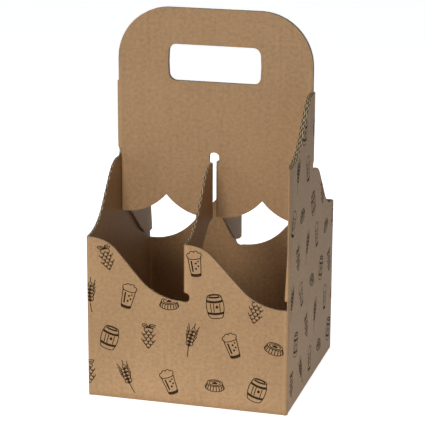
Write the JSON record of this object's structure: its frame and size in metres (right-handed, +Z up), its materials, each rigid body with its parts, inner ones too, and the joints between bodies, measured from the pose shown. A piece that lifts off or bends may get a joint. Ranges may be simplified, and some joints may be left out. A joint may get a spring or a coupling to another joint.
{
  "type": "cardboard bottle carrier",
  "caption": "Open box of folded corrugated board with curved cut-outs, divider straps and a tall doubled handle panel, for carrying bottles by hand.",
  "frame": {"origin": "centre of the base's underside, where the carrier stands", "axes": "+Z up, +X to the right and +Y to the back as seen from the front; the handle panel lies in the XZ plane"},
  "size_m": [0.13, 0.13, 0.24],
  "materials": {
    "kraft_board": "matte"
  },
  "bodies": {
    "root": {"carrier": "kraft_board"}
  },
  "joints": []
}
